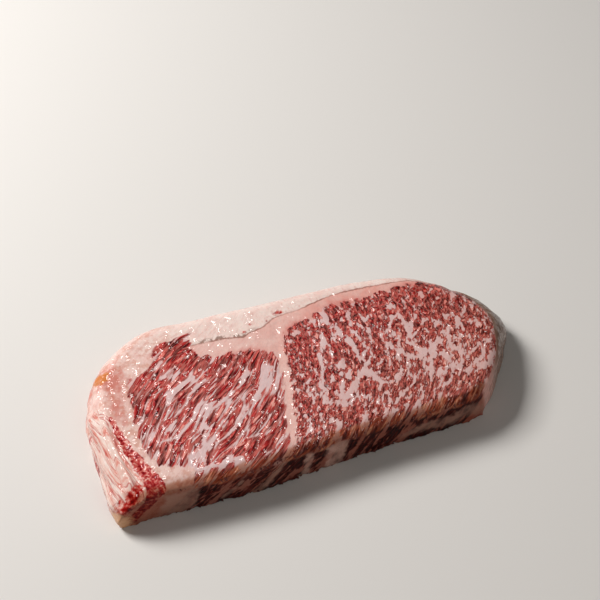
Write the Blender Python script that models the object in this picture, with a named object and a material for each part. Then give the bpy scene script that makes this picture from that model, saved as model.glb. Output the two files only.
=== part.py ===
# A thick steak cut across a raw, heavily marbled beef striploin.
# One piece of meat: two cut faces (top and underside), one straight knife cut along the front,
# and the grown surfaces of fat and membrane on the left, back and right.
# X runs along the front cut, Y towards the fat cap, Z up. The origin is under the middle of the steak.
# The lines below are drawn looking down on the steak.

import math

import bmesh
import bpy
import numpy as np
from mathutils import Vector, noise

mm = 0.001

# Driving dimensions
THICKNESS = 25 * mm
TOP_EDGE = 0.8 * mm  # how far the knife edge is broken at the rim of the top face
GRID_ALONG = 66  # quads along the front cut
GRID_ACROSS = 34  # quads from the front cut to the fat cap

# Outline of the top cut face in millimetres, as four sides that meet at four corners
FRONT_CUT = [
    (-116, -50.5), (-98, -51), (-78, -52.5), (-46, -54), (-16, -52.5),
    (20, -52), (48, -52.5), (72, -53), (86, -50.5),
]
RIGHT_TIP = [
    (86, -50.5), (93, -45), (101, -36), (107, -27), (111, -17), (114, -4), (109.5, 12), (101, 24.5),
]
FAT_CAP = [
    (-108, 38), (-99, 46.5), (-86, 54), (-72, 56.5), (-56, 54.8), (-36, 54.2), (-15, 52.5),
    (15, 51), (45, 49.5), (74, 43.5), (90, 33.5), (101, 24.5),
]
FLANK = [(-116, -50.5), (-118, -40), (-119, -22), (-120, -6), (-118.5, 14), (-114, 30), (-108, 38)]
MIDDLE = (-1.4, 1.5)  # middle of the steak's box in these coordinates; it becomes the origin

# How far the wall spreads from the top rim to its widest row:
# (share of the side's length, millimetres towards X, millimetres towards Y)
FRONT_SPREAD = [
    (0, -8.5, -0.3), (0.05, -5, -0.4), (0.12, -1.5, -0.6), (0.35, 0, -0.8),
    (0.5, 0, -1.3), (0.7, 0, -0.6), (0.92, 0.3, -0.4), (1, 2, -1.2),
]
RIGHT_SPREAD = [
    (0, 2, -1.2), (0.3, 1.8, -1.2), (0.48, 5, -1.6), (0.6, 10, -1),
    (0.7, 12, 0), (0.85, 9, 2.5), (1, 3.5, 4),
]
CAP_SPREAD = [(0, -4.5, 5), (0.12, -1, 2), (0.5, 0, 0.3), (0.85, 0.5, 1.5), (1, 3.5, 4)]
FLANK_SPREAD = [(0, -8.5, -0.3), (0.12, -8.5, 0), (0.6, -7, 0), (0.85, -6, 1), (1, -4.5, 5)]
WIDEST = 0.72  # how far down the wall it is widest
TUCK = 1.6 * mm  # how far a grown wall comes back in from there to the underside
WALL_ROWS = [0.1, 0.22, 0.36, 0.5, 0.64, 0.78, 0.9, 1.0]  # shares of the wall's height, rim to underside

# Lines of the anatomy on the top face, in millimetres
SILVERSKIN_EDGE = [(-119, 18), (-113, 3), (-110, -8), (-108, -19), (-104, -31), (-100, -42), (-96, -53)]
THIN_MUSCLE = [(-113, 2), (-111, -9), (-109, -20), (-106, -30), (-103, -40), (-99, -50)]
MUSCLE_SEAM = [(-7, 32), (-11, 18), (-14, 0), (-18, -16), (-22, -33), (-27, -48), (-29, -56)]
CAP_MEMBRANE = [
    (-76, 37), (-58, 35), (-33, 31), (-18, 32), (-2, 38),
    (15, 39), (33, 41), (55, 40), (73, 36), (88, 30),
]
PROUD_FOLD = [(-118, 8), (-117, -8), (-116, -22), (-114, -34), (-112, -47)]

# Relief of the top face: how deep, and over what half width
FLANK_FALL = 0.17  # slope of the trimmed flank beyond the silverskin edge
MUSCLE_GROOVE, MUSCLE_GROOVE_WIDTH = 0.8 * mm, 2.6 * mm
SEAM_GROOVE, SEAM_GROOVE_WIDTH = 0.6 * mm, 3.2 * mm
MEMBRANE_STEP, MEMBRANE_STEP_WIDTH = 0.5 * mm, 3.0 * mm
FOLD_RISE, FOLD_WIDTH = 1.1 * mm, 3.0 * mm
CAP_ROUNDING, CAP_ROUNDING_WIDTH = 1.6 * mm, 5.0 * mm
FACE_WAVE, FACE_WAVE_LENGTH = 0.45 * mm, 34 * mm

# Relief of the walls
FRONT_WAVE, FRONT_WAVE_LENGTH = 0.5 * mm, 9 * mm
CAP_WAVE, CAP_WAVE_LENGTH = 1.0 * mm, 18 * mm
FLANK_FOLD, FLANK_FOLD_PITCH = 0.9 * mm, 8.5 * mm
FLANK_REACH = -100 * mm  # the folds are on the wall to the left of this

RAW_BEEF = (0.42, 0.08, 0.07, 1)


def clear_scene():
    for old in list(bpy.data.objects):
        bpy.data.objects.remove(old)


def smooth_line(points, count):
    """count points, evenly spaced, on a Catmull-Rom curve through the given ones, in metres."""
    knots = np.array(points, float) * mm
    ends = np.vstack([2 * knots[0] - knots[1], knots, 2 * knots[-1] - knots[-2]])
    fine = []
    for a, b, c, d in zip(ends, ends[1:], ends[2:], ends[3:]):
        for t in np.linspace(0, 1, 24, endpoint=False):
            bend = (2 * a - 5 * b + 4 * c - d) * t**2
            twist = (3 * b - a - 3 * c + d) * t**3
            fine.append(0.5 * (2 * b + (c - a) * t + bend + twist))
    fine = np.array(fine + [knots[-1]])
    run = np.concatenate([[0], np.cumsum(np.linalg.norm(np.diff(fine, axis=0), axis=1))])
    at = np.linspace(0, run[-1], count)
    return np.column_stack([np.interp(at, run, fine[:, 0]), np.interp(at, run, fine[:, 1])])


def keyed(keys, share):
    """The spread towards X and Y at each share, between (share, millimetres, millimetres) keys."""
    key_shares, key_x, key_y = np.array(keys).T
    towards_x = np.interp(share, key_shares, key_x)
    towards_y = np.interp(share, key_shares, key_y)
    return np.column_stack([towards_x, towards_y]) * mm


def smoothstep(x):
    x = min(max(x, 0.0), 1.0)
    return x * x * (3 - 2 * x)


def distance_to(line, x, y):
    """(distance to the line, which side: positive on its left looking along it)."""
    best, side = 1e9, 1.0
    for (ax, ay), (bx, by) in zip(line, line[1:]):
        dx, dy = bx - ax, by - ay
        t = min(max(((x - ax) * dx + (y - ay) * dy) / (dx * dx + dy * dy), 0.0), 1.0)
        gap = math.hypot(x - ax - t * dx, y - ay - t * dy)
        if gap < best:
            best, side = gap, math.copysign(1.0, dx * (y - ay) - dy * (x - ax))
    return best, side


def wave(x, y, z, length):
    return noise.noise(Vector((x, y, z)) / length)


LINES = {
    "silverskin": smooth_line(SILVERSKIN_EDGE, 24),
    "muscle": smooth_line(THIN_MUSCLE, 20),
    "seam": smooth_line(MUSCLE_SEAM, 20),
    "membrane": smooth_line(CAP_MEMBRANE, 36),
    "fold": smooth_line(PROUD_FOLD, 18),
    "cap": smooth_line(FAT_CAP, 60),
}


def ridge(name, width, x, y):
    """1 on the named line, falling to 0 at that half width from it."""
    gap, _ = distance_to(LINES[name], x, y)
    return smoothstep(1 - gap / width)


def top_height(x, y):
    """Height of the top cut face: a flat cut, with the muscles and seams standing a little up or down."""
    z = THICKNESS + FACE_WAVE * wave(x, y, 0, FACE_WAVE_LENGTH)
    gap, side = distance_to(LINES["silverskin"], x, y)
    if side < 0:
        z -= FLANK_FALL * gap
    z -= MUSCLE_GROOVE * ridge("muscle", MUSCLE_GROOVE_WIDTH, x, y)
    z -= SEAM_GROOVE * ridge("seam", SEAM_GROOVE_WIDTH, x, y)
    z -= MEMBRANE_STEP * ridge("membrane", MEMBRANE_STEP_WIDTH, x, y)
    z += FOLD_RISE * ridge("fold", FOLD_WIDTH, x, y)
    z -= CAP_ROUNDING * ridge("cap", CAP_ROUNDING_WIDTH, x, y)
    return z


def outline_sides():
    """The four sides of the top outline, each from left to right or from front to back."""
    return (
        smooth_line(FRONT_CUT, GRID_ALONG + 1),
        smooth_line(RIGHT_TIP, GRID_ACROSS + 1),
        smooth_line(FAT_CAP, GRID_ALONG + 1),
        smooth_line(FLANK, GRID_ACROSS + 1),
    )


def patch_point(sides, i, j):
    """Where grid point (i, j) lies inside the outline: a surface stretched between the four sides."""
    front, right, back, left = sides
    u, v = i / GRID_ALONG, j / GRID_ACROSS
    between = (1 - v) * front[i] + v * back[i] + (1 - u) * left[j] + u * right[j]
    corners = (1 - u) * ((1 - v) * front[0] + v * back[0]) + u * ((1 - v) * front[-1] + v * back[-1])
    return between - corners


def rim_loop(sides):
    """The outline as one counter-clockwise loop: (point, outward direction, spread, is it cut)."""
    front, right, back, left = sides
    loop = []
    for side, keys, backwards, cut in (
        (front, FRONT_SPREAD, False, True),
        (right, RIGHT_SPREAD, False, False),
        (back, CAP_SPREAD, True, False),
        (left, FLANK_SPREAD, True, False),
    ):
        spread = keyed(keys, np.linspace(0, 1, len(side)))
        order = range(len(side) - 1, 0, -1) if backwards else range(len(side) - 1)
        loop += [(side[k], spread[k], cut) for k in order]
    points = np.array([entry[0] for entry in loop])
    along = np.roll(points, -2, axis=0) - np.roll(points, 2, axis=0)
    along /= np.linalg.norm(along, axis=1)[:, None]
    outward = np.column_stack([along[:, 1], -along[:, 0]])
    return [(point, n, spread, cut) for (point, spread, cut), n in zip(loop, outward)]


def wall_point(point, outward, spread, cut, rim_z, down):
    """A point of the wall, down being its share of the way from the top rim to the underside."""
    z = rim_z * (1 - down)
    x, y = point + spread * math.sin(0.5 * math.pi * min(down, WIDEST) / WIDEST)
    if cut:
        out = FRONT_WAVE * (1 + down) * wave(x, y, z, FRONT_WAVE_LENGTH)
    else:
        depth = math.sin(math.pi * down)
        out = CAP_WAVE * (depth + 0.3) * wave(x, y, z, CAP_WAVE_LENGTH)
        out -= TUCK * smoothstep((down - WIDEST) / (1 - WIDEST))
        if x < FLANK_REACH:
            out += FLANK_FOLD * depth * math.sin(2 * math.pi * (z + 0.25 * y) / FLANK_FOLD_PITCH)
    return Vector((x + outward[0] * out, y + outward[1] * out, z))


def steak_mesh():
    bm = bmesh.new()
    bmesh.ops.create_grid(bm, x_segments=GRID_ALONG, y_segments=GRID_ACROSS, size=1)
    sides = outline_sides()
    rim = {}
    for vert in bm.verts:
        i = round((vert.co.x + 1) / 2 * GRID_ALONG)
        j = round((vert.co.y + 1) / 2 * GRID_ACROSS)
        x, y = patch_point(sides, i, j)
        if vert.is_boundary:
            rim[(i, j)] = vert
        vert.co = (x, y, top_height(x, y))

    along, across = GRID_ALONG, GRID_ACROSS
    order = [(i, 0) for i in range(along)] + [(along, j) for j in range(across)]
    order += [(i, across) for i in range(along, 0, -1)] + [(0, j) for j in range(across, 0, -1)]
    ring = [rim[key] for key in order]
    loop = rim_loop(sides)
    heights = [vert.co.z for vert in ring]
    for vert, (_, outward, _, _) in zip(ring, loop):
        vert.co.x -= outward[0] * TOP_EDGE
        vert.co.y -= outward[1] * TOP_EDGE

    first_row = TOP_EDGE / THICKNESS
    for down in [first_row] + WALL_ROWS:
        below = []
        for height, (point, outward, spread, cut) in zip(heights, loop):
            below.append(bm.verts.new(wall_point(point, outward, spread, cut, height, down)))
        for k, upper in enumerate(ring):
            after = (k + 1) % len(ring)
            bm.faces.new((below[k], below[after], ring[after], upper))
        ring = below
    underside = bm.faces.new(list(reversed(ring)))
    bmesh.ops.triangulate(bm, faces=[underside], ngon_method="BEAUTY")
    bmesh.ops.recalc_face_normals(bm, faces=bm.faces)
    bmesh.ops.translate(bm, verts=bm.verts, vec=(-MIDDLE[0] * mm, -MIDDLE[1] * mm, 0))

    mesh = bpy.data.meshes.new("striploin")
    bm.to_mesh(mesh)
    bm.free()
    mesh.shade_smooth()
    mesh.set_sharp_from_angle(angle=math.radians(40))
    return mesh


def raw_beef():
    """Wet raw beef: red lean under a thin film of juice."""
    material = bpy.data.materials.new("raw_beef")
    material.use_nodes = True
    surface = material.node_tree.nodes["Principled BSDF"]
    surface.inputs["Base Color"].default_value = RAW_BEEF
    surface.inputs["Roughness"].default_value = 0.38
    surface.inputs["Metallic"].default_value = 0.0
    return material


def main():
    clear_scene()
    mesh = steak_mesh()
    mesh.materials.append(raw_beef())
    steak = bpy.data.objects.new("striploin", mesh)
    bpy.context.scene.collection.objects.link(steak)


main()
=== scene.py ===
import math
import random

import bpy
import numpy as np
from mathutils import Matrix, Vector, noise


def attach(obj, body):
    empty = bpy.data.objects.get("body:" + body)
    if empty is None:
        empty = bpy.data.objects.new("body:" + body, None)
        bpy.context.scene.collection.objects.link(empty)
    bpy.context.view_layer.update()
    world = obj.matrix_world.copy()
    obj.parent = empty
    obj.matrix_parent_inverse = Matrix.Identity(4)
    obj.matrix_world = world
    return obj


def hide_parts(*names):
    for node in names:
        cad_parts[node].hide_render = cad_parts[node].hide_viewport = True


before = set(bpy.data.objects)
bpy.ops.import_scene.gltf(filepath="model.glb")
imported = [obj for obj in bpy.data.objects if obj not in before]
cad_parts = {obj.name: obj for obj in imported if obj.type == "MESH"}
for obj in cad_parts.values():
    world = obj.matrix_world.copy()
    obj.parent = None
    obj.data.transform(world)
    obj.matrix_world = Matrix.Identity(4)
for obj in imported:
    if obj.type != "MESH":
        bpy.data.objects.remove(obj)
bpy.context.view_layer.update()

# The slice of meat
# Two muscles and their fat in one piece, 25 mm thick, with a knife cut above, below and along the front.
# The left, back and right are the grown outside of the loin: fat under a thin membrane.
THICKNESS = 25
BROW, BROW_START = 3.0, 0.6  # radius of the rounded rim, and how far round in radians the top face meets it
RIM = BROW * (1 - math.sin(BROW_START))  # how far in from the wall the top face ends
ALONG, ACROSS = 336, 152  # quads along the front cut and from there to the fat cap
MIDDLE = (-1.4, 1.5)  # the middle of the slice in the drawn coordinates, which is the frame's origin

FRONT_CUT = [
    (-116, -50.5), (-98, -51), (-78, -52.5), (-46, -54), (-16, -52.5),
    (20, -52), (48, -52.5), (72, -53), (86, -50.5),
]
RIGHT_TIP = [
    (86, -50.5), (93, -45), (101, -36), (107, -27), (111, -17), (114, -4), (109.5, 12), (101, 24.5),
]
FAT_CAP = [
    (-108, 38), (-99, 46.5), (-86, 54), (-72, 56.5), (-56, 54.8), (-36, 54.2), (-15, 52.5),
    (15, 51), (45, 49.5), (74, 43.5), (90, 33.5), (101, 24.5),
]
FLANK = [(-116, -50.5), (-118, -40), (-119, -22), (-120, -6), (-118.5, 14), (-114, 30), (-108, 38)]

# How far the wall spreads from the rim to its widest row: (share of the side, towards X, towards Y)
FRONT_SPREAD = [
    (0, -8.5, -0.3), (0.05, -5, -0.4), (0.12, -1.5, -0.6), (0.35, 0, -0.8),
    (0.5, 0, -1.3), (0.7, 0, -0.6), (0.92, 0.3, -0.4), (1, 2, -1.2),
]
RIGHT_SPREAD = [
    (0, 2, -1.2), (0.3, 1.8, -1.2), (0.48, 5, -1.6), (0.6, 10, -1),
    (0.7, 12, 0), (0.85, 9, 2.5), (1, 3.5, 4),
]
CAP_SPREAD = [(0, -4.5, 5), (0.12, -1, 2), (0.5, 0, 0.3), (0.85, 0.5, 1.5), (1, 3.5, 4)]
FLANK_SPREAD = [(0, -8.5, -0.3), (0.12, -8.5, 0), (0.6, -7, 0), (0.85, -6, 1), (1, -4.5, 5)]
WIDEST, TUCK = 0.72, 1.6  # how far down the wall is widest, and how far it comes back in below that

# Lines of the anatomy on the top face
SILVERSKIN_EDGE = [(-119, 18), (-113, 3), (-110, -8), (-108, -19), (-104, -31), (-100, -42), (-96, -53)]
THIN_MUSCLE = [(-113, 2), (-111, -9), (-109, -20), (-106, -30), (-103, -40), (-99, -50)]
MUSCLE_SEAM = [(-7, 32), (-11, 18), (-14, 0), (-18, -16), (-22, -33), (-27, -48), (-29, -56)]
CAP_MEMBRANE = [
    (-76, 37), (-57, 35), (-40, 33.5), (-33, 32), (-27.5, 30.2), (-22.5, 32.4), (-15, 33), (-6, 37.6),
    (4, 38), (12, 38.5), (28, 41.5), (43, 41.6), (58, 40), (73, 38), (82, 36), (92, 31),
]
PROUD_FOLD = [(-118, 8), (-117, -8), (-116, -22), (-114, -34), (-112, -47)]

# Outlines of the two muscles, counter-clockwise. They run past the front cut, which cuts both.
LEFT_MUSCLE = [
    (-55, 43.5), (-66, 42.5), (-74, 41.5), (-79.5, 36.5), (-81, 30), (-86, 25.5), (-97, 23), (-100, 12),
    (-101, -9), (-101, -20), (-98, -32), (-92, -38), (-84, -41), (-80, -45), (-78, -53), (-72, -60),
    (-40, -62), (-31, -56), (-27, -44), (-22, -25), (-16, -6), (-14, 5), (-16, 13), (-24, 19), (-37, 21),
    (-49, 24), (-56, 28), (-59, 33), (-57, 38),
]
EYE_MUSCLE = [
    (84, -60), (91, -47), (100, -38), (107, -28), (112, -17), (116, -4), (112, 12), (104, 23), (93, 31),
    (81, 33), (62, 34), (41, 33), (25, 35), (13, 30), (2, 28), (-5, 22), (-8, 12), (-10, 0), (-14, -16),
    (-18, -33), (-23, -48), (-24, -60),
]

# Veins and islands of fat on the top face: half width at the start, half width at the end, and the line
VEINS = [
    (1.6, 2.6, [(22, 33), (22, 24), (25, 15), (28, 8), (29, -1), (31, -9), (30, -17)]),
    (2.4, 2.2, [(30, -17), (23, -20), (16, -27), (9, -32), (2, -29)]),
    (2.2, 1.2, [(30, -17), (35, -27), (42, -28), (49, -25), (54, -20)]),
    (1.5, 1.7, [(16, 14), (11, 4), (7, -6), (4, -13), (3, -19), (2, -29)]),
    (1.2, 0.5, [(5, -10), (1, -15), (-5, -20)]),
    (0.8, 1.7, [(20, -3), (17, -10), (15, -17), (12, -25), (9, -32)]),
    (1.2, 0.4, [(35, 28), (34, 20), (34, 11), (35, 1)]),
    (1.6, 0.6, [(42, 19), (39, 11), (37, 4), (33, -4)]),
    (2.0, 1.5, [(52, 6), (49, -2), (51, -8), (55, -13), (62, -18), (67, -22)]),
    (1.8, 1.8, [(63, 13), (63, 5), (63, -2), (64, -9), (65, -16)]),
    (1.8, 1.2, [(65, -16), (75, -15), (81, -13), (87, -6), (94, -1), (100, 7)]),
    (1.6, 2.0, [(2, -42), (0, -51), (-1, -60)]),
    (1.0, 2.6, [(21, -37), (18, -44), (15, -56)]),
    (1.2, 2.4, [(34, -41), (30, -49), (27, -58)]),
    (1.2, 2.8, [(52, -40), (48, -48), (44, -58)]),
    (1.4, 1.0, [(68, -36), (73, -29), (78, -21)]),
    (0.8, 0.8, [(80, -33), (85, -24), (88, -14)]),
    (3.2, 2.4, [(90, -34), (97, -35), (101, -30)]),
    (2.2, 1.8, [(81, 23), (82, 23)]),
    (1.8, 1.6, [(89, 18), (90, 18)]),
    (1.0, 1.2, [(-91, -10), (-94, -17), (-94, -21), (-89, -22), (-81, -22)]),
    (1.2, 0.9, [(-81, -22), (-66, -12), (-55, -9), (-46, -5), (-39, -1), (-33, 6)]),
    (1.5, 1.0, [(-93, 4), (-87, 8), (-82, 12)]),
    (1.6, 1.2, [(-79, 5), (-74, 9), (-68, 13)]),
    (3.0, 1.2, [(-66, -21), (-69, -28), (-72, -36), (-73, -44)]),
    (1.6, 2.0, [(-75, -46), (-66, -46), (-57, -46), (-53, -52)]),
    (1.9, 0.8, [(-20, 5), (-26, -2), (-31, -9), (-38, -15)]),
    (1.0, 0.5, [(-48, -24), (-41, -17), (-34, -12)]),
    (2.0, 1.0, [(-88, -41), (-80, -44), (-72, -48)]),
]

BLOOD_HOLLOW = (1.5, (-112.5, -46), (5, 6.5))  # how deep, middle and half widths of the pocket on the flank

# Wall rows: how far each is down, as a share of the height, and in from the wall: the rim, then the wall
RIM_TURNS = [0.82, 1.05, 1.3, math.pi / 2]
WALL_ROWS = [BROW * (math.cos(BROW_START) - math.cos(turn)) / THICKNESS for turn in RIM_TURNS]
WALL_INSETS = [BROW * (1 - math.sin(turn)) for turn in RIM_TURNS]
WALL_ROWS += list(np.linspace(0.13, 0.92, 18)) + [0.95, 0.975, 0.99, 1.0]
WALL_INSETS += [0] * 22


def smooth_line(points, count):
    """count points, evenly spaced, on a Catmull-Rom curve through the given ones."""
    knots = np.array(points, float)
    ends = np.vstack([2 * knots[0] - knots[1], knots, 2 * knots[-1] - knots[-2]])
    fine = []
    for a, b, c, d in zip(ends, ends[1:], ends[2:], ends[3:]):
        for t in np.linspace(0, 1, 24, endpoint=False):
            bend = (2 * a - 5 * b + 4 * c - d) * t**2
            twist = (3 * b - a - 3 * c + d) * t**3
            fine.append(0.5 * (2 * b + (c - a) * t + bend + twist))
    fine = np.array(fine + [knots[-1]])
    run = np.concatenate([[0], np.cumsum(np.linalg.norm(np.diff(fine, axis=0), axis=1))])
    at = np.linspace(0, run[-1], count)
    return np.column_stack([np.interp(at, run, fine[:, 0]), np.interp(at, run, fine[:, 1])])


def smoothstep(low, high, x):
    """0 below low, 1 above high, and a soft step between."""
    share = np.clip((x - low) / (high - low), 0, 1)
    return share * share * (3 - 2 * share)


def wave(places, length, stretch=(1, 1, 1)):
    """Soft noise from -1 to 1 at each place, with swells of that length, longer by stretch on each axis."""
    scaled = (np.asarray(places) / (length * np.array(stretch))).tolist()
    return np.array([noise.noise(p) for p in scaled])


def nearest_on(line, places):
    """For each place: distance to the line, side (positive on the line's left), share of the way along it."""
    best = np.full(len(places), 1e9)
    side = np.ones(len(places))
    along = np.zeros(len(places))
    for k, (a, b) in enumerate(zip(line, line[1:])):
        run = b - a
        away = places - a
        share = np.clip(away @ run / (run @ run), 0, 1)
        gap = np.hypot(*(away - share[:, None] * run).T)
        closer = gap < best
        best[closer] = gap[closer]
        side[closer] = np.sign(run[0] * away[closer, 1] - run[1] * away[closer, 0])
        along[closer] = (k + share[closer]) / (len(line) - 1)
    return best, side, along


def ridge(line, half_width, places):
    """1 on the line, falling to 0 at that distance from it."""
    return smoothstep(0, 1, 1 - nearest_on(line, places)[0] / half_width)


def inside(outline, places):
    """How far each place lies inside a closed outline; negative outside it."""
    closed = smooth_line(outline + outline[:1], 6 * len(outline))
    x, y = places.T
    within = np.zeros(len(places), bool)
    for (ax, ay), (bx, by) in zip(closed, closed[1:]):
        if ay != by:
            within ^= ((ay > y) != (by > y)) & (x < ax + (bx - ax) * (y - ay) / (by - ay))
    return nearest_on(closed, places)[0] * np.where(within, 1, -1)


silverskin = smooth_line(SILVERSKIN_EDGE, 24)
thin_muscle = smooth_line(THIN_MUSCLE, 20)
seam = smooth_line(MUSCLE_SEAM, 20)
membrane = smooth_line(CAP_MEMBRANE, 36)
proud_fold = smooth_line(PROUD_FOLD, 18)
cap_rim, front_rim = smooth_line(FAT_CAP, 60), smooth_line(FRONT_CUT, 60)
tip_rim, flank_rim = smooth_line(RIGHT_TIP, 30), smooth_line(FLANK, 30)
# How the top face falls towards its rims: (rim, how far it falls, over what width)
RIM_FALLS = [(cap_rim, 2.0, 6), (front_rim, 2.2, 6.6), (tip_rim, 1.8, 5.4), (flank_rim, 1.5, 4.5)]


def vein_depth(places):
    """How far each place lies inside the nearest vein of fat; negative outside."""
    deepest = np.full(len(places), -30.0)
    for start, end, points in VEINS:
        line = smooth_line(points, 5 * len(points))
        gap, _, along = nearest_on(line, places)
        deepest = np.maximum(deepest, start + (end - start) * along - gap)
    return deepest


def skin_folds(lengthwise, crosswise):
    """Relief of the trimmed flank: thin folds of membrane that run lengthwise, sharp on top."""
    places = np.column_stack([lengthwise / 22, crosswise / 2.3, np.zeros(len(lengthwise))])
    folds = 1 - 2.4 * np.abs(wave(places, 1))
    finer = 1 - 2.4 * np.abs(wave(places * 1.9 + 7.3, 1))
    strength = 0.25 + 0.75 * smoothstep(-0.3, 0.4, wave(places * 0.6 + 3.1, 1))
    return strength * (0.45 * folds + 0.3 * finer)


def top_height(places, lean):
    """Height of the top cut face, with the muscles, seams and fat standing a little up or down."""
    flat = np.column_stack([places, np.zeros(len(places))])
    z = THICKNESS + 0.45 * wave(flat, 34)
    gap, side, _ = nearest_on(silverskin, places)
    beyond = np.where(side < 0, gap, 0)
    z -= 0.17 * beyond
    gap, _, along = nearest_on(thin_muscle, places)
    z -= 0.8 * smoothstep(0, 0.5, along) * smoothstep(0, 1, 1 - gap / 2.6)
    z -= 0.2 * ridge(seam, 4, places)
    z -= 0.1 * ridge(membrane, 1.4, places)
    gap, _, along = nearest_on(proud_fold, places)
    z += 1.1 * smoothstep(0, 0.25, along) * smoothstep(0, 1, 1 - gap / 3)
    deep, middle, half_widths = BLOOD_HOLLOW
    z -= deep * smoothstep(0, 1, 1 - np.hypot(*((places - np.array(middle)) / half_widths).T))
    for rim, fall, width in RIM_FALLS:
        z -= fall * np.clip(1 - (nearest_on(rim, places)[0] - RIM) / width, 0, 1) ** 2
    z += smoothstep(0.5, 4, beyond) * 0.7 * skin_folds(places[:, 1], beyond)
    z -= 0.1 * smoothstep(-1, 1, lean)
    grain = 0.18 * wave(flat, 3.1) + 0.09 * wave(flat + 31, 1.4)
    return z + grain * (0.3 + 0.7 * smoothstep(-0.5, 0.5, lean))


sides = [
    smooth_line(FRONT_CUT, ALONG + 1),
    smooth_line(RIGHT_TIP, ACROSS + 1),
    smooth_line(FAT_CAP, ALONG + 1),
    smooth_line(FLANK, ACROSS + 1),
]


def stretched(front, right, back, left):
    """A grid of places stretched between four sides that meet at their corners, as [across, along, axis]."""
    u = np.linspace(0, 1, len(front))[None, :, None]
    v = np.linspace(0, 1, len(right))[:, None, None]
    between = (1 - v) * front[None] + v * back[None] + (1 - u) * left[:, None] + u * right[:, None]
    near = (1 - u) * front[0] + u * front[-1]
    far = (1 - u) * back[0] + u * back[-1]
    return between - (1 - v) * near - v * far


def ring_of(front, right, back, left):
    """Four sides as one counter-clockwise loop."""
    return np.concatenate([front[:-1], right[:-1], back[:0:-1], left[:0:-1]])


def rim_of(wide, tall):
    """The numbers of the vertices around a grid, row by row from the front, as one loop."""
    numbers = np.arange(wide * tall).reshape(tall, wide)
    return ring_of(numbers[0], numbers[:, -1], numbers[-1], numbers[:, 0])


def sides_of(ring, along, across):
    """The four sides of a loop again, as ring_of took them."""
    closed = np.concatenate([ring, ring[:1]])
    corners = np.cumsum([0, along, across, along, across])
    front, right, back, left = [closed[a : b + 1] for a, b in zip(corners, corners[1:])]
    return front, right, back[::-1], left[::-1]


def keyed(keys, count):
    """The spread between its keys, at count places evenly spaced along a side."""
    shares, towards_x, towards_y = np.array(keys).T
    at = np.linspace(0, 1, count)
    return np.column_stack([np.interp(at, shares, towards_x), np.interp(at, shares, towards_y)])


loop = ring_of(*sides)
spread = ring_of(*[
    keyed(keys, len(side))
    for keys, side in zip((FRONT_SPREAD, RIGHT_SPREAD, CAP_SPREAD, FLANK_SPREAD), sides)
])
reach = 2 * ALONG // 66  # how many steps to each side give the rim's direction
tangent = np.roll(loop, -reach, axis=0) - np.roll(loop, reach, axis=0)
tangent /= np.linalg.norm(tangent, axis=1)[:, None]
outward = np.column_stack([tangent[:, 1], -tangent[:, 0]])
around = np.concatenate([[0], np.cumsum(np.linalg.norm(np.diff(loop, axis=0), axis=1))])
is_cut = np.arange(len(loop)) < ALONG

# The top face, row by row from the front cut to the fat cap
flat_top = stretched(*sides_of(loop - outward * RIM, ALONG, ACROSS)).reshape(-1, 2)
rim_index = rim_of(ALONG + 1, ACROSS + 1)
lean_on_top = np.maximum(inside(LEFT_MUSCLE, flat_top), inside(EYE_MUSCLE, flat_top))
lean_on_top = np.minimum(lean_on_top, -vein_depth(flat_top))
heights = top_height(flat_top, lean_on_top)
top = np.column_stack([flat_top, heights])
rows = [top]

# The walls
gap, side, _ = nearest_on(silverskin, loop)
rim_beyond = np.where(side < 0, gap, 0)
rim_z = heights[rim_index]
for down, inset in zip(WALL_ROWS, WALL_INSETS):
    z = rim_z * (1 - down)
    place = loop + spread * math.sin(0.5 * math.pi * min(down, WIDEST) / WIDEST)
    deep = np.column_stack([place, z])
    depth = math.sin(math.pi * down)
    slanted = np.column_stack([place[:, 0] + 0.58 * (THICKNESS - z), place[:, 1], z])
    ragged = 0.9 * smoothstep(0.82, 1, down) * (wave(deep, 3.1) + 0.5 * wave(deep, 1.4))
    cut_out = 0.5 * (1 + down) * wave(deep, 9) + ragged
    cut_out += 0.4 * depth * wave(slanted, 2.4, (1, 1, 9))
    grown_out = (depth + 0.3) * wave(deep, 18) - TUCK * smoothstep(0, 1, (down - WIDEST) / (1 - WIDEST))
    grown_out += 0.45 * (depth + 0.2) * wave(deep, 5, (1.6, 1.6, 0.8)) + 0.2 * wave(deep, 2)
    on_flank = smoothstep(100, 110, -place[:, 0])
    grown_out += on_flank * depth * 0.5 * np.sin(2 * math.pi * (z + 0.25 * place[:, 1]) / 8.5)
    grown_out += on_flank * depth * 0.7 * skin_folds(-around, rim_beyond + THICKNESS * down)
    out = np.where(is_cut, cut_out, grown_out) * smoothstep(-0.03, 0.2, down)
    inset += 0.9 * smoothstep(0.94, 1, down) ** 2
    rows.append(np.column_stack([place + outward * (out - inset)[:, None], z]))

# The underside, with half as many quads each way and one row of triangles to meet the wall
last = rows[-1][:, :2]
under = stretched(*sides_of(last[::2] - 1.3 * outward[::2], ALONG // 2, ACROSS // 2))
for _ in range(300):  # evens out the quads behind the tucked-in corner
    under[1:-1, 1:-1] = (under[:-2, 1:-1] + under[2:, 1:-1] + under[1:-1, :-2] + under[1:-1, 2:]) / 4
rows.append(np.column_stack([under.reshape(-1, 2), np.zeros(under.shape[0] * under.shape[1])]))
places = np.concatenate(rows)


def grid_faces(start, wide, tall, up):
    """Quads of a grid of vertices, facing up or down."""
    i, j = np.meshgrid(np.arange(wide - 1), np.arange(tall - 1))
    corner = start + j * wide + i
    quads = np.stack([corner, corner + 1, corner + wide + 1, corner + wide], axis=-1).reshape(-1, 4)
    return (quads if up else quads[:, ::-1]).tolist()


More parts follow.
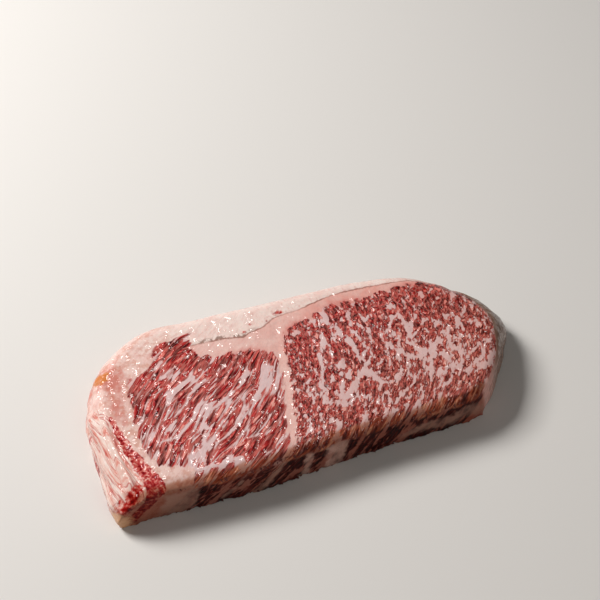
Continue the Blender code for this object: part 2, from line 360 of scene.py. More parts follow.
count = len(loop)
faces = grid_faces(0, ALONG + 1, ACROSS + 1, True)
ring = rim_index
start = len(top)
for _ in WALL_ROWS:
    below = start + np.arange(count)
    faces += np.column_stack([below, np.roll(below, -1), np.roll(ring, -1), ring]).tolist()
    ring = below
    start += count
wide, tall = ALONG // 2 + 1, ACROSS // 2 + 1
faces += grid_faces(start, wide, tall, False)
low_index = start + rim_of(wide, tall)
low_next = np.roll(low_index, -1)
even, odd, after = ring[::2], ring[1::2], np.roll(ring[::2], -1)
faces += np.column_stack([even, low_index, odd]).tolist()
faces += np.column_stack([odd, low_index, low_next]).tolist()
faces += np.column_stack([odd, low_next, after]).tolist()

mm = 0.001
slice_mesh = bpy.data.meshes.new("striploin_slice")
world_places = (places - (*MIDDLE, 0)) * mm
slice_mesh.from_pydata(world_places.tolist(), [], faces)
slice_mesh.validate()
slice_mesh.shade_smooth()
striploin = bpy.data.objects.new("striploin_slice", slice_mesh)
bpy.context.scene.collection.objects.link(striploin)

# How the meat lies inside the slice
# The muscles run through the slice with a slant, so a cut face lower down shows them further to the left.
# Each vertex gets its depth in lean, in a vein and in the layers of the fat, for the material to read.
# How far they lean to the left for each millimetre down: (place along X, lean)
SLANT = [(-120, 0.95), (-45, 0.95), (-5, 0.4), (40, 0.55), (120, 0.6)]
# Which way the fibres run, at places on the top face: (X, Y, degrees from X)
LEFT_FIBRES = [
    (-98, 10, 70), (-98, -15, 78), (-88, 20, 42), (-88, 0, 47), (-88, -22, 32), (-75, 20, 41),
    (-75, 0, 38), (-75, -18, 33), (-70, -35, 45), (-58, 12, 38), (-58, -8, 31), (-58, -30, 46),
    (-42, 10, 38), (-40, -8, 42), (-42, -28, 34), (-38, -45, 38), (-28, 8, 50), (-28, -18, 50),
    (-28, -38, 62), (-18, 5, 58), (-19, -20, 63),
]
EYE_FIBRES = [
    (-6, 20, 84), (-6, 0, 72), (-8, -20, 60), (-16, -40, 66), (2, 12, 92), (2, -8, 64), (2, -28, 76),
    (12, 22, 98), (12, 0, 78), (12, -20, 68), (12, -38, 56), (24, 22, 84), (24, 0, 76), (24, -28, 50),
    (32, 12, 90), (32, -8, 79), (32, -38, 47), (42, 20, 75), (42, 0, 72), (42, -28, 40), (45, -40, 42),
    (52, 20, 71), (52, -8, 88), (55, -38, 50), (62, 22, 62), (62, 2, 78), (65, -20, 62), (72, 12, 60),
    (72, -28, 58), (82, 0, 55), (82, -18, 48), (90, -38, 44), (92, 12, 70), (98, -8, 55), (100, -28, 50),
]
LEFT_BUNDLE, EYE_BUNDLE = (18, 3.4), (5.6, 3.1)  # length and width of a bundle of fibres
# Where there is more lean or more fat than elsewhere: (how much more lean, reach, middle)
RICHER = [
    (0.07, 26, (84, 24)), (0.05, 22, (40, 22)), (-0.05, 30, (74, -20)), (-0.06, 10, (-74, -36)),
    (0.09, 18, (-94, 8)), (0.1, 14, (-68, 34)), (0.06, 14, (-40, 14)), (-0.05, 14, (-52, -30)),
    (0.08, 20, (0, 4)), (0.05, 18, (34, 2)), (0.07, 16, (10, -44)), (-0.1, 9, (-24, -8)),
    (0.12, 15, (-88, -28)), (0.08, 10, (84, -44)),
]
# Marks on the face: (half widths along X and Y, middle)
BLOOD_SPOT = ((3.6, 5.6), (-109.5, -46.5))
ORANGE_SPOT = ((8, 7), (-113.5, 33))
RED_DOTS = [
    ((1.2, 1.1), (-20, 38)), ((2.4, 1.0), (-3, 40.2)), ((0.8, 0.7), (-26, 34)), ((0.6, 0.6), (-11, 37)),
]
SALMON_PATCHES = [((7, 12), (-106, 27)), ((3.6, 11), (-107.5, 9))]
# Where the red is fresher: (reach, middle)
FRESH = [(34, (84, 26)), (20, (2, 30)), (22, (34, 36)), (20, (-96, 10)), (22, (-70, 36)), (20, (-30, 18))]
# Pale streaks of fat on the front cut: half width at the start and at the end, and the line in X and Z
FRONT_STREAKS = [
    (1.9, 2.5, [(-17, 23), (-19, 13), (-22.5, 0)]), (1.5, 2.2, [(-30, 24), (-37, 15), (-50, 0)]),
    (7.5, 4.0, [(-1, 28), (-2.5, 12), (-6, -3)]), (2.5, 6.5, [(38, 7), (52, 10), (66, 8), (76, 12), (90, 8)]),
    (0.8, 1.0, [(-52, 22), (-60, 12), (-68, 4)]), (9.0, 9.0, [(-88, 24), (-90, 12), (-96, 0)]),
]
TAN_TIP = (9, (-125, -50, 5))  # reach and middle of the dried tip of the front left corner

fresh = np.zeros(len(places))
for spot_reach, middle in FRESH:
    fresh = np.maximum(fresh, 1 - smoothstep(0, spot_reach, np.hypot(*(places[:, :2] - np.array(middle)).T)))

lower = places[:, 2]
lean_over = np.interp(places[:, 0], *zip(*SLANT)) * (THICKNESS - np.minimum(lower, THICKNESS))
across_xy = np.column_stack([places[:, 0] + lean_over, places[:, 1]])
left_depth, eye_depth = inside(LEFT_MUSCLE, across_xy), inside(EYE_MUSCLE, across_xy)
vein = vein_depth(across_xy)
nearer_left = left_depth > eye_depth


def run_of(fibres, turn):
    """Millimetres run along the fibres (turn 0) or across them (turn 90) to each place, as a smooth cubic."""
    x, y, angle = np.array(fibres, float).T
    x, y, angle = x / 50, y / 50, np.radians(angle + turn)
    powers = [(i, j) for i in range(4) for j in range(4 - i) if i + j > 0]
    slope_x = [i * x ** max(i - 1, 0) * y**j / 50 for i, j in powers]
    slope_y = [j * x**i * y ** max(j - 1, 0) / 50 for i, j in powers]
    slopes = np.hstack([slope_x, slope_y]).T
    shares = np.linalg.lstsq(slopes, np.concatenate([np.cos(angle), np.sin(angle)]), rcond=None)[0]
    x, y = across_xy.T / 50
    return sum(share * x**i * y**j for share, (i, j) in zip(shares, powers))


def mark(half_widths, middle):
    """How far each place lies inside an oval mark, in millimetres; negative outside."""
    (wide, tall), (x, y) = half_widths, middle
    return min(wide, tall) * (1 - np.hypot((across_xy[:, 0] - x) / wide, (across_xy[:, 1] - y) / tall))


swell = np.column_stack([across_xy, lower / 1.5])
sway = 1.8 * wave(swell, 19)
left_grain = np.column_stack([
    run_of(LEFT_FIBRES, 0) / LEFT_BUNDLE[0], (run_of(LEFT_FIBRES, 90) + sway) / LEFT_BUNDLE[1],
])
eye_grain = np.column_stack([
    run_of(EYE_FIBRES, 0) / EYE_BUNDLE[0], (run_of(EYE_FIBRES, 90) + sway) / EYE_BUNDLE[1],
])
grain = np.where(nearer_left[:, None], left_grain, eye_grain + 50)
grain = np.column_stack([grain, (THICKNESS - lower) / 9])
richer = np.where(nearer_left, 0.01, 0.0)
for amount, spot_reach, middle in RICHER:
    richer += amount * (1 - smoothstep(0, spot_reach, np.hypot(*(across_xy - np.array(middle)).T)))

wall_start, under_start = len(top), len(top) + count * len(WALL_ROWS)
walls = slice(wall_start, under_start)
grown_ring = np.where(is_cut, 0.0, 1.0)
for _ in range(6):
    grown_ring = (np.roll(grown_ring, 1) + grown_ring + np.roll(grown_ring, -1)) / 3
outside = np.zeros(len(places))
outside[rim_index] = grown_ring
outside[walls] = np.tile(grown_ring, len(WALL_ROWS))

# Painted shade over the brown of the dried front cut: the front wall darkens further down, and the top just
# behind the front rim darkens a little
dried_and_shaded = np.zeros(len(places))
dried_and_shaded[walls] = np.concatenate([(1 - grown_ring) * (0.4 + 0.6 * smoothstep(0, 0.2, d)) for d in WALL_ROWS])
front_gap = np.full(len(places), 50.0)
front_gap[:wall_start] = nearest_on(sides[0], flat_top)[0] - RIM
dried_and_shaded = np.maximum(dried_and_shaded, 0.4 * (1 - smoothstep(0, 3.5, front_gap)))
# The frayed band along the front rim: dried, torn meat, with painted shade in the gaps between its strands
fray_and_shade = 1 - smoothstep(0, 7, front_gap)
fray_and_shade[walls] = np.concatenate([(1 - grown_ring) * (1 - smoothstep(0, 0.35, d)) for d in WALL_ROWS])

gap, side, _ = nearest_on(silverskin, across_xy)
beyond = np.where(side < 0, gap, -gap)
skin_along = -places[:, 1] + 560
skin_along[walls] = np.tile(around, len(WALL_ROWS))
skin_down = beyond.copy()
skin_down[walls] = np.concatenate([rim_beyond + THICKNESS * d for d in WALL_ROWS])
membrane_gap, membrane_side, _ = nearest_on(membrane, across_xy)
thin_gap, _, thin_along = nearest_on(thin_muscle, across_xy)
dots = np.max([mark(*dot) for dot in RED_DOTS], axis=0)
fat_streak = np.full(len(places), -20.0)
for start_width, end_width, points in FRONT_STREAKS:
    gap, _, along = nearest_on(smooth_line(points, 8), places[:, ::2])
    fat_streak = np.maximum(fat_streak, start_width + (end_width - start_width) * along - gap)
orange = mark(*ORANGE_SPOT) - 0.4 * (THICKNESS - np.minimum(lower, THICKNESS))
tan_tip = 0.5 * (TAN_TIP[0] - np.linalg.norm(places - np.array(TAN_TIP[1]), axis=1))


def give(name, values, mesh=slice_mesh):
    """Stores one number, or three, for each vertex of the mesh."""
    kind, key = ("FLOAT", "value") if np.ndim(values) == 1 else ("FLOAT_VECTOR", "vector")
    attribute = mesh.attributes.new(name, kind, "POINT")
    attribute.data.foreach_set(key, np.ravel(values).astype(np.float32))


give("grain", grain)
give("muscle", np.maximum(left_depth, eye_depth))
give("richer", richer)
give("fresh", fresh)
give("vein", vein)
give("eye", smoothstep(-4, 4, eye_depth - left_depth))
give("grown", outside)
give("dried_and_shaded", dried_and_shaded)
give("frayed_and_shade", fray_and_shade)
give("skin", np.column_stack([skin_along, skin_down, np.zeros(len(places))]))
give("flank", beyond)
give("outer_fat", membrane_gap * membrane_side)
give("thin_muscle", 1.2 + 3.4 * thin_along - thin_gap)
give("blood", np.maximum(mark(*BLOOD_SPOT), dots))
give("orange", orange)
give("tan_tip", tan_tip)
give("streak", fat_streak)
give("salmon", np.max([mark(*patch) for patch in SALMON_PATCHES], axis=0))

# Raw marbled beef
# Red lean in bundles of fibres parted by pale fat, with a film of juice over it: small sharp glints on
# the lean, a softer sheen on the fat, and a little light that goes in and comes out again.
# Colours from the dark rim of a bundle to its pale heart, in fresher and in browner lean; the dark rim is
# partly painted shade and the pale heart partly a painted highlight
LEAN = [(0, "3e0106"), (0.3, "7e0b11"), (0.55, "ae2226"), (0.8, "cb524c"), (1, "e9a095")]
LEAN_BROWN = [(0, "43100a"), (0.3, "731c13"), (0.55, "9c372b"), (0.8, "c26b5b"), (1, "e0a598")]
MARBLING = [(0, "dfc1c0"), (0.3, "dba9a5"), (0.65, "cf7a72"), (1, "b03a37")]
FAT_PINK, FAT_ROSE, FAT_CREAM, FAT_TAN = "e4b8af", "e3a195", "f0dcd4", "d9a99b"
FLANK_SKIN = [(0.3, "b8443a"), (0.4, "d98f82"), (0.49, "e2bfb4"), (0.62, "ecd9d1")]
BLOOD = [(0.34, "7a0a0a"), (0.46, "b41d18"), (0.55, "cf6458"), (0.64, "e8b4a8")]
THIN_MEAT = [(0.36, "7e0e16"), (0.46, "b0262a"), (0.55, "cf665d"), (0.64, "ebb8ad")]
# The frayed rim, from painted shade in the gaps between strands to the dried orange-brown of the strands
FRAYED_AND_SHADE = [(0.36, "330e07"), (0.45, "702412"), (0.54, "a64c2c"), (0.64, "d08a6a")]
# TIP_OLIVE_SHADE: the right tip's olive fat, darkened with painted shade
SALMON, ORANGE, TIP_OLIVE_SHADE, STREAK = "c4604f", "c8742e", "7d5f4b", "e0b2a4"
MEMBRANE_BROWN, SMEAR_GREY, TAN = "9a6356", "937468", "dda880"
FRESH_RED, FIBRE_PINK, FRINGE_RED, SKIN_RED = "f4aaa6", "d4766c", "cf6259", "b0302c"
FRESH_MARBLING, BROWN_MARBLING, HAIR_ROSE = "d98a80", "cf9d92", "d59f98"
# The front cut's fat and lean, darkened with painted shade over the brown of drying; a darker colour for its
# fat streaks away from the middle; fat in the frayed band, dried and in painted shade
DRIED_FAT_AND_SHADE, DRIED_LEAN_AND_SHADE, DARKER_SIDE_STREAK, FRAYED_FAT_AND_SHADE = "b07e6b", "632f22", "a97c6c", "deb497"


def colour(hex_value):
    """An sRGB hex value as a linear colour."""
    parts = [int(hex_value[k : k + 2], 16) / 255 for k in (0, 2, 4)]
    return [c / 12.92 if c <= 0.04045 else ((c + 0.055) / 1.055) ** 2.4 for c in parts] + [1]


def add(tree, kind, inputs=(), **settings):
    """Adds a node with its settings. inputs maps a socket's name or number to a value or to a socket."""
    made = tree.nodes.new(kind)
    for name, value in settings.items():
        setattr(made, name, value)
    for name, value in dict(inputs).items():
        if isinstance(value, bpy.types.NodeSocket):
            tree.links.new(value, made.inputs[name])
        else:
            made.inputs[name].default_value = value
    return made


beef = bpy.data.materials.new("raw_marbled_beef")
beef.use_nodes = True
tree = beef.node_tree
shader = tree.nodes["Principled BSDF"]


def read(name, output="Fac"):
    """What the mesh gives each place under that name."""
    return add(tree, "ShaderNodeAttribute", attribute_name=name).outputs[output]


def maths(operation, *values):
    return add(tree, "ShaderNodeMath", dict(enumerate(values)), operation=operation).outputs[0]


def times(*values):
    """The product of two or more values."""
    product = values[0]
    for value in values[1:]:
        product = maths("MULTIPLY", product, value)
    return product


def step(value, low, high, to_low=0.0, to_high=1.0):
    """to_low where the value is below low, to_high above high, and a soft step between."""
    inputs = {"Value": value, "From Min": low, "From Max": high, "To Min": to_low, "To Max": to_high}
    made = add(tree, "ShaderNodeMapRange", inputs, interpolation_type="SMOOTHSTEP")
    return made.outputs["Result"]


def ramp(value, stops):
    """Colours along a value, from (place, hex) stops."""
    made = add(tree, "ShaderNodeValToRGB", {"Fac": value})
    for k, (place, hex_value) in enumerate(stops):
        stop = made.color_ramp.elements[k] if k < 2 else made.color_ramp.elements.new(place)
        stop.position, stop.color = place, colour(hex_value)
    return made.outputs["Color"]


def blend(share, first, second, how="MIX"):
    """From the first colour to the second as share goes from 0 to 1."""
    made = add(tree, "ShaderNodeMix", {"Factor": share}, data_type="RGBA", blend_type=how)
    for socket, value in zip((made.inputs[6], made.inputs[7]), (first, second)):
        if isinstance(value, bpy.types.NodeSocket):
            tree.links.new(value, socket)
        else:
            socket.default_value = colour(value)
    return made.outputs[2]


def swirl(at, size, detail=2.0, rough=0.5):
    """Soft noise from 0 to 1 with swells of that size."""
    inputs = {"Vector": at, "Scale": 1 / size, "Detail": detail, "Roughness": rough}
    return add(tree, "ShaderNodeTexNoise", inputs).outputs["Fac"]


def scaled(at, *factors):
    """at, with each axis times its factor."""
    return add(tree, "ShaderNodeVectorMath", {0: at, 1: factors}, operation="MULTIPLY").outputs[0]


def cell_edges(at, scale):
    """Distance to the nearest edge between cells."""
    inputs = {"Vector": at, "Scale": scale}
    return add(tree, "ShaderNodeTexVoronoi", inputs, feature="DISTANCE_TO_EDGE").outputs["Distance"]


def warped(at, size, amount):
    """at, pushed about by soft noise."""
    push = add(tree, "ShaderNodeTexNoise", {"Vector": at, "Scale": 1 / size, "Detail": 2.0}).outputs["Color"]
    push = add(tree, "ShaderNodeVectorMath", {0: push, 1: (-0.5, -0.5, -0.5)}, operation="ADD").outputs[0]
    inputs = {0: push, 1: (amount, amount, amount), 2: at}
    return add(tree, "ShaderNodeVectorMath", inputs, operation="MULTIPLY_ADD").outputs[0]


# Where things are
position = add(tree, "ShaderNodeTexCoord").outputs["Object"]
in_mm = scaled(position, 1000.0, 1000.0, 1000.0)
apart = add(tree, "ShaderNodeSeparateXYZ", {0: in_mm}).outputs
x_mm, y_mm = apart["X"], apart["Y"]
grain_at = read("grain", "Vector")
skin_at = read("skin", "Vector")
muscle, vein_in, eye = read("muscle"), read("vein"), read("eye")
on_grown, on_dried_and_shaded = read("grown"), read("dried_and_shaded")
left = maths("SUBTRACT", 1.0, eye)
patchy = swirl(in_mm, 13, 2)

# Lean in bundles, each a bunch of fibres with a dark rim, partly painted shade, and a paler heart, partly a
# painted highlight; fat in the gaps and veins
bent = warped(grain_at, 0.9, 0.65)
bundles = swirl(bent, 1.0, 2, 0.5)
hairs = swirl(scaled(bent, 1.8, 2.2, 3.0), 1.0, 2, 0.5)
group_edge = cell_edges(warped(grain_at, 1.3, 0.8), 0.6)
fibres_at = warped(bent, 0.35, 0.5)
fibre_edge = cell_edges(fibres_at, 1.4)
each = add(tree, "ShaderNodeTexVoronoi", {"Vector": fibres_at, "Scale": 1.4}, feature="F1").outputs["Color"]
each = add(tree, "ShaderNodeSeparateXYZ", {0: each}).outputs["X"]
wobble = times(maths("SUBTRACT", swirl(in_mm, 3.4, 3, 0.6), 0.5), 5.0)
lean_bias = maths("ADD", read("richer"), step(vein_in, -3.0, 0.5, 0.0, -0.05))
lean_bias = maths("ADD", lean_bias, times(maths("SUBTRACT", each, 0.5), 0.12))
lean_bias = maths("ADD", lean_bias, times(maths("SUBTRACT", hairs, 0.5), 0.35))
in_left = step(maths("ADD", group_edge, times(lean_bias, 0.9)), -0.05, 0.12)
in_left = times(in_left, step(maths("ADD", bundles, lean_bias), 0.365, 0.44))
in_eye = step(maths("ADD", bundles, lean_bias), 0.385, 0.46)
in_bundle = maths("ADD", times(in_left, left), times(in_eye, eye))
ragged_vein = maths("ADD", vein_in, maths("ADD", wobble, times(maths("SUBTRACT", each, 0.55), 2.0)))
ragged_vein = maths("ADD", ragged_vein, times(maths("SUBTRACT", 0.47, bundles), 5.5))
vein_fat = step(ragged_vein, -0.3, 0.9)
to_edge = maths("ADD", muscle, times(maths("SUBTRACT", bundles, 0.5), 9.0))
lean_here = step(maths("ADD", to_edge, times(wobble, 0.5)), -0.8, 0.6)
uncut = maths("SUBTRACT", 1.0, on_grown)
lean_share = times(in_bundle, lean_here, maths("SUBTRACT", 1.0, vein_fat), uncut)
fat = maths("SUBTRACT", 1.0, lean_share)

thread = times(maths("SUBTRACT", 1.0, step(fibre_edge, 0.04, 0.15)), step(hairs, 0.38, 0.55, 0.3, 1.0))
# Painted highlight and shade on each fibre cell: pale at its heart, dark at its rim, over the lean's own
# changes of tone
tone_highlight_and_shade = times(maths("SUBTRACT", fibre_edge, 0.13), 2.9)
tone_highlight_and_shade = maths("ADD", tone_highlight_and_shade, times(maths("SUBTRACT", hairs, 0.46), 3.0))
tone_highlight_and_shade = maths("ADD", tone_highlight_and_shade, times(each, 0.35))
browner = maths("ADD", x_mm, times(maths("SUBTRACT", patchy, 0.5), 160))
browner = step(maths("SUBTRACT", browner, times(y_mm, 1.4)), -30, 150)
lean = blend(browner, ramp(tone_highlight_and_shade, LEAN), ramp(tone_highlight_and_shade, LEAN_BROWN))
lean = blend(times(read("fresh"), 0.8), lean, FRESH_RED, "MULTIPLY")
lean = blend(times(thread, 0.65), lean, FIBRE_PINK)

# Fat: cream outside the membrane and pink inside it, tan along the flank and cloudy at the left corner
outer_fat = maths("ADD", read("outer_fat"), maths("MULTIPLY", wobble, 0.4))
is_outer = maths("ADD", step(outer_fat, -0.2, 0.5), -0.5)
is_outer = maths("ADD", times(is_outer, step(x_mm, -92, -70)), 0.5)
cloudy = step(swirl(in_mm, 7, 4, 0.6), 0.3, 0.75)
corner = step(x_mm, -84, -50, 1.0, 0.0)
inner = blend(step(x_mm, -40, 50), FAT_PINK, FAT_ROSE)
inner = blend(times(cloudy, 0.35), inner, FAT_CREAM)
outer = blend(times(cloudy, 0.6), FAT_CREAM, FAT_PINK)
outer = blend(step(x_mm, 60, 105, 0.0, 0.8), outer, FAT_TAN)
fringe = times(step(to_edge, -4.5, 0.0), read("fresh"), 0.6)
inner = blend(fringe, inner, FRINGE_RED)
rind = blend(is_outer, inner, outer)
rind = blend(times(corner, step(swirl(in_mm, 5, 4, 0.65), 0.45, 0.62)), rind, FAT_TAN)
marbling = blend(times(read("fresh"), 0.45), ramp(lean_share, MARBLING), FRESH_MARBLING)
marbling = blend(times(browner, eye, 0.45), marbling, BROWN_MARBLING)
fat_colour = blend(times(lean_here, uncut), rind, marbling)
fat_colour = blend(step(hairs, 0.5, 0.72, 0.0, 0.45), fat_colour, HAIR_ROSE)
membrane_line = maths("SUBTRACT", 1.0, step(maths("ABSOLUTE", outer_fat), 0.15, 0.75))
membrane_line = times(membrane_line, step(patchy, 0.3, 0.6, 0.3, 0.85), step(x_mm, -62, -52))
smear = maths("SUBTRACT", 1.0, step(maths("ABSOLUTE", maths("ADD", outer_fat, -0.9)), 0.7, 2.2))
smear = times(smear, step(x_mm, -58, -50), step(x_mm, -24, -14, 1.0, 0.0))
smear = times(smear, step(swirl(in_mm, 3, 3, 0.6), 0.4, 0.56))
fat_colour = blend(times(smear, 0.85), fat_colour, SMEAR_GREY)
fat_colour = blend(membrane_line, fat_colour, MEMBRANE_BROWN)

base = blend(fat, lean, fat_colour)

# The trimmed flank: white membrane with salmon streaks lengthwise, a thin red muscle and a pocket of blood
flank_in = step(maths("ADD", read("flank"), times(wobble, 0.4)), -0.5, 0.8)
lengthwise = warped(scaled(skin_at, 0.055, 0.45, 1.0), 1.0, 0.8)
skin = ramp(swirl(lengthwise, 1.0, 4, 0.65), FLANK_SKIN)
straighter = warped(scaled(skin_at, 0.02, 0.4, 1.0), 1.0, 0.35)
red_line = maths("ABSOLUTE", maths("SUBTRACT", swirl(straighter, 1.0, 1), 0.5))
red_line = maths("SUBTRACT", 1.0, step(red_line, 0.005, 0.028))
skin = blend(times(red_line, 0.7), skin, SKIN_RED)
base = blend(flank_in, base, skin)
speckle = swirl(in_mm, 2.2, 3, 0.6)
thin = step(maths("ADD", read("thin_muscle"), times(wobble, 0.7)), -0.3, 0.6)
base = blend(thin, base, ramp(speckle, THIN_MEAT))
salmon = step(maths("ADD", read("salmon"), times(wobble, 2.6)), -3.0, 4.5)
base = blend(times(salmon, 0.75), base, SALMON)
orange_spot = step(maths("ADD", read("orange"), times(wobble, 1.4)), -1.0, 1.6)
base = blend(times(orange_spot, 0.9), base, ORANGE)
blood = step(maths("ADD", read("blood"), times(wobble, 1.3)), -0.6, 0.9)
base = blend(blood, base, ramp(swirl(in_mm, 3, 3), BLOOD))

# The older knife cut along the front is darker: partly the brown of the dried cut, partly painted shade, most
# of all at its frayed upper edge
base = blend(on_dried_and_shaded, base, blend(lean_share, DRIED_FAT_AND_SHADE, DRIED_LEAN_AND_SHADE), "MULTIPLY")
streak = step(maths("ADD", read("streak"), times(wobble, 1.3)), -1.4, 1.6)
# The front's fat streaks take a darker colour away from x = -10 mm, on both sides
streak_colour = blend(maths("ABSOLUTE", step(x_mm, -40, 20, -1.0, 1.0)), STREAK, DARKER_SIDE_STREAK)
streak = times(streak, step(on_dried_and_shaded, 0.5, 0.9), step(swirl(in_mm, 9, 3), 0.3, 0.62, 0.3, 0.95))
base = blend(streak, base, streak_colour)
# Painted shade in the gaps between the frayed strands along the front rim, over their dried brown
strokes = swirl(scaled(bent, 0.45, 1.0, 1.0), 1.0, 2, 0.5)
in_fray_and_shade = maths("ADD", read("frayed_and_shade"), maths("ADD", strokes, patchy))
frayed_and_shade = blend(step(lean_share, 0.1, 0.7), blend(1.0, base, FRAYED_FAT_AND_SHADE, "MULTIPLY"), ramp(strokes, FRAYED_AND_SHADE))
base = blend(step(in_fray_and_shade, 1.35, 1.9, 0.0, 0.85), base, frayed_and_shade)
base = blend(step(maths("ADD", read("tan_tip"), times(wobble, 0.8)), -0.5, 2.0), base, TAN)
# Painted shade on the right tip's wall: its olive fat is darkened as if in shade
tip_shade = times(on_grown, step(x_mm, 88, 112))
base = blend(times(tip_shade, 0.92), base, TIP_OLIVE_SHADE)

tree.links.new(base, shader.inputs["Base Color"])

# The film of juice: wet and glinting on the fresh cut, nearly dry on the older front cut
gloss = maths("SUBTRACT", step(fat, 0, 1, 0.4, 0.45), times(flank_in, 0.17))
gloss = maths("ADD", gloss, times(maths("SUBTRACT", swirl(in_mm, 3, 3), 0.5), 0.25))
tree.links.new(gloss, shader.inputs["Roughness"])
shader.inputs["IOR"].default_value = 1.4
shader.inputs["Specular IOR Level"].default_value = 0.1
wet = step(on_dried_and_shaded, 0.1, 0.6, 0.75, 0.12)
tree.links.new(wet, shader.inputs["Coat Weight"])
shader.inputs["Coat Roughness"].default_value = 0.09
shader.inputs["Coat IOR"].default_value = 1.4
shader.inputs["Subsurface Weight"].default_value = 0.04
shader.inputs["Subsurface Radius"].default_value = (1.0, 0.35, 0.25)
shader.inputs["Subsurface Scale"].default_value = 0.0012

# Relief too fine for the mesh: fibres and soft fat in the meat, and slow swells of 4.5 mm in the film
on_fibre = times(step(fibre_edge, 0.0, 0.35), lean_share)
height = maths("ADD", times(fat, 0.12), times(on_fibre, 0.4))
height = maths("ADD", height, times(swirl(in_mm, 1.6, 3, 0.6), 0.22))
bump = add(tree, "ShaderNodeBump", {"Height": height, "Distance": 0.001, "Strength": 0.8})
tree.links.new(bump.outputs[0], shader.inputs["Normal"])
film = maths("ADD", times(swirl(in_mm, 4.5, 1, 0.4), 3.4), times(on_fibre, 0.2))
film = add(tree, "ShaderNodeBump", {"Height": film, "Distance": 0.001, "Strength": 0.9})
tree.links.new(film.outputs[0], shader.inputs["Coat Normal"])
slice_mesh.materials.append(beef)

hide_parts("striploin")
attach(striploin, "root")

# Torn fibres along the cut edges
# Loose ends of muscle fibre that the knife tore along both edges of the front cut. Each is a thin,
# tapered, bent strand that still grows out of the meat.
# For each edge: (how far down the wall, how many quads from strand to strand, how far a strand points up)
TORN_EDGES = [(0.9, 6, 0.0), (0.95, 5, 0.1), (0.08, 4, -0.55)]
GAPS = 0.62  # the share of places that have no strand
rng = random.Random(7)


def grown(name, points, turns, tree, values, material):
    """Runs the tree once on turned points and keeps the result as a plain mesh for one piece."""
    seed_mesh = bpy.data.meshes.new(name + "_roots")
    seed_mesh.from_pydata([tuple(point) for point in points], [], [])
    give("turn", turns, seed_mesh)
    holder = bpy.data.objects.new(name + "_roots", seed_mesh)
    bpy.context.scene.collection.objects.link(holder)
    modifier = holder.modifiers.new(name, "NODES")
    modifier.node_group = tree
    for socket in tree.interface.items_tree:
        if socket.in_out == "INPUT" and socket.name in values:
            modifier[socket.identifier] = values[socket.name]
    bpy.context.view_layer.update()
    ready = holder.evaluated_get(bpy.context.evaluated_depsgraph_get())
    mesh = bpy.data.meshes.new_from_object(ready)
    mesh.name = name
    bpy.data.objects.remove(holder)
    bpy.data.meshes.remove(seed_mesh)
    mesh.shade_smooth()
    mesh.materials.clear()
    mesh.materials.append(material)
    piece = bpy.data.objects.new(name, mesh)
    bpy.context.scene.collection.objects.link(piece)
    return piece


def new_tree(name, sizes):
    """A geometry tree with a mesh in, a mesh out and named sizes."""
    tree = bpy.data.node_groups.new(name, "GeometryNodeTree")
    tree.interface.new_socket("Geometry", in_out="INPUT", socket_type="NodeSocketGeometry")
    tree.interface.new_socket("Geometry", in_out="OUTPUT", socket_type="NodeSocketGeometry")
    for size, kind in sizes.items():
        tree.interface.new_socket(size, in_out="INPUT", socket_type=kind)
    return tree, tree.nodes.new("NodeGroupInput"), tree.nodes.new("NodeGroupOutput")


def plain_material(name, hex_value, rough):
    """A material of one colour and one roughness."""
    made = bpy.data.materials.new(name)
    made.use_nodes = True
    inputs = made.node_tree.nodes["Principled BSDF"].inputs
    inputs["Base Color"].default_value = colour(hex_value)
    inputs["Roughness"].default_value = rough
    return made


# Dark, half dry red-brown, which sets the torn ends off as a ragged line
torn_lean = plain_material("torn_lean", "5e241c", 0.5)

# One strand is a bent, tapered tube. Its thickest radius is given as a share of its length.
strand_sizes = {"Length": "NodeSocketFloat", "Thickness": "NodeSocketFloat", "Seed": "NodeSocketInt"}
strands, given, result = new_tree("torn_strands", strand_sizes)
bent_line = add(strands, "GeometryNodeCurveQuadraticBezier", {
    "Resolution": 5, "Start": (0, 0, -0.35), "Middle": (0.05, 0, 0.45), "End": (0.4, 0, 0.9),
})
along_it = add(strands, "GeometryNodeSplineParameter")
taper = add(strands, "ShaderNodeMapRange", {
    "Value": along_it.outputs["Factor"], "From Min": 0.2, "From Max": 1.0, "To Min": 1.0, "To Max": 0.12,
})
round_profile = add(strands, "GeometryNodeCurvePrimitiveCircle", {
    "Resolution": 5, "Radius": given.outputs["Thickness"],
})
strand = add(strands, "GeometryNodeCurveToMesh", {
    "Curve": bent_line.outputs[0], "Profile Curve": round_profile.outputs[0], "Fill Caps": True,
    "Scale": taper.outputs["Result"],
})
turn_of = add(strands, "GeometryNodeInputNamedAttribute", {"Name": "turn"}, data_type="FLOAT_VECTOR")
random_inputs = {"Min": 0.5, "Max": 1.5, "Seed": given.outputs["Seed"]}
by_chance = add(strands, "FunctionNodeRandomValue", random_inputs, data_type="FLOAT")
long_inputs = {0: by_chance.outputs[1], 1: given.outputs["Length"]}
long_by = add(strands, "ShaderNodeMath", long_inputs, operation="MULTIPLY")
placed = add(strands, "GeometryNodeInstanceOnPoints", {
    "Points": given.outputs["Geometry"], "Instance": strand.outputs[0],
    "Rotation": turn_of.outputs["Attribute"], "Scale": long_by.outputs[0],
})
real = add(strands, "GeometryNodeRealizeInstances", {"Geometry": placed.outputs[0]})
dressed = add(strands, "GeometryNodeSetMaterial", {"Geometry": real.outputs[0], "Material": torn_lean})
strands.links.new(dressed.outputs[0], result.inputs[0])

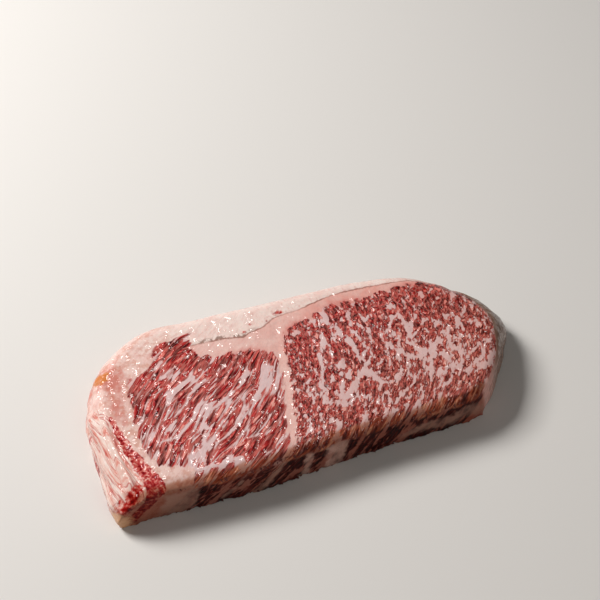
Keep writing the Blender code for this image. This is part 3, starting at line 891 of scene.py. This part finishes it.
roots, turns = [], []
for down, every, rise in TORN_EDGES:
    row = int(np.argmin(np.abs(np.array(WALL_ROWS) - down)))
    row_start = len(top) + row * count
    for k in range(int(0.12 * ALONG), ALONG - 6, every):
        if rng.random() < GAPS:
            continue
        root = places[row_start + k] - np.append(outward[k] * 0.15, 0)
        way = Vector((*outward[k], rise)) + Vector((rng.uniform(-0.9, 0.5), 0, rng.uniform(-0.15, 0.15)))
        roots.append((root - (*MIDDLE, 0)) * mm)
        turns.append(way.to_track_quat("Z", "X").to_euler())
torn_values = {"Length": 0.0014, "Thickness": 0.42, "Seed": 3}
torn = grown("torn_fibres", roots, turns, strands, torn_values, torn_lean)
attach(torn, "root")

# The table, the light and the camera
# A plain pale floor. The key light stands on the left behind the slice, so the front cut is in its own
# shade, and a weak warm light from the front keeps its browns from going black.
bpy.ops.mesh.primitive_plane_add(size=6)
floor = bpy.context.object
floor.name = "floor"
floor.data.materials.append(plain_material("pale_floor", "dedcd9", 0.8))  # matt and nearly white


def lamp(name, at, aim, size, power, tint):
    """A square soft box that looks at the point it aims at."""
    light = bpy.data.lights.new(name, "AREA")
    light.shape, light.size, light.energy, light.color = "SQUARE", size, power, tint
    holder = bpy.data.objects.new(name, light)
    holder.location = at
    holder.rotation_euler = (Vector(aim) - Vector(at)).to_track_quat("-Z", "Y").to_euler()
    bpy.context.scene.collection.objects.link(holder)


lamp("key", (-0.7, 0.8, 1.0), (0, 0, 0.02), 0.55, 25, (1.0, 0.97, 0.94))
lamp("fill", (0.2, -0.7, 0.9), (0, 0, 0), 0.9, 2.0, (1.0, 0.93, 0.86))
world = bpy.data.worlds.new("room")
world.use_nodes = True
world.node_tree.nodes["Background"].inputs["Color"].default_value = (1, 1, 1, 1)
world.node_tree.nodes["Background"].inputs["Strength"].default_value = 0.06
bpy.context.scene.world = world
bpy.context.scene.view_settings.view_transform = "Standard"

VIEW_FROM = Vector((-0.14244, -0.37730, 0.55998))
VIEW_ALONG = Vector((0.22419, 0.60242, -0.76604))
LENS = 71.34
camera = bpy.data.objects.new("camera", bpy.data.cameras.new("camera"))
camera.data.lens = LENS
camera.data.sensor_width = 36
camera.data.clip_start = 0.01
camera.location = VIEW_FROM
camera.rotation_euler = VIEW_ALONG.to_track_quat("-Z", "Y").to_euler()
bpy.context.scene.collection.objects.link(camera)
bpy.context.scene.camera = camera
